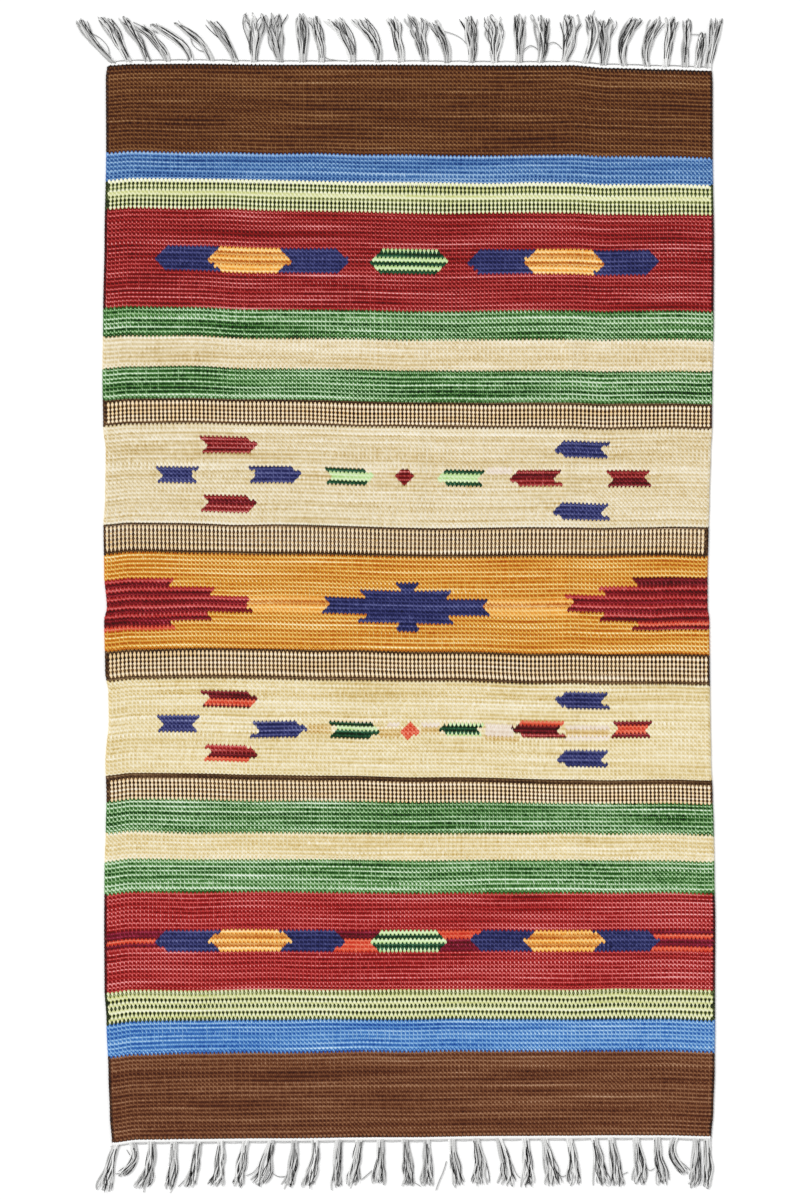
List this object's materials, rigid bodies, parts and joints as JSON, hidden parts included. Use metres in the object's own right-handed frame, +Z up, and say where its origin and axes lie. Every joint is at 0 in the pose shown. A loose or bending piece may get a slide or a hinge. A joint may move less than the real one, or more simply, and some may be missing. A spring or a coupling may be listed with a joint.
{
  "type": "kilim rug",
  "caption": "Flat-woven cotton kilim rug with cross bands, small woven motifs and a tasselled fringe at each short end, lying flat on the floor.",
  "frame": {"origin": "middle of the footprint on the floor, at the centre of the bounding box seen from above", "axes": "+X runs across the rug along its colour bands, +Y runs along its length towards the end with the more leaning tassels, +Z points up from the floor"},
  "size_m": [0.9588, 1.7628, 0.0054],
  "materials": {
    "woven_cotton": "thick weft-faced plain weave of dyed cotton, matt and ribbed",
    "fringe_cotton": "undyed white and grey cotton cords, matt and loosely twisted"
  },
  "bodies": {
    "root": {"rug_cloth": "woven_cotton", "fringe_top": "fringe_cotton", "fringe_bottom": "fringe_cotton"}
  },
  "joints": []
}
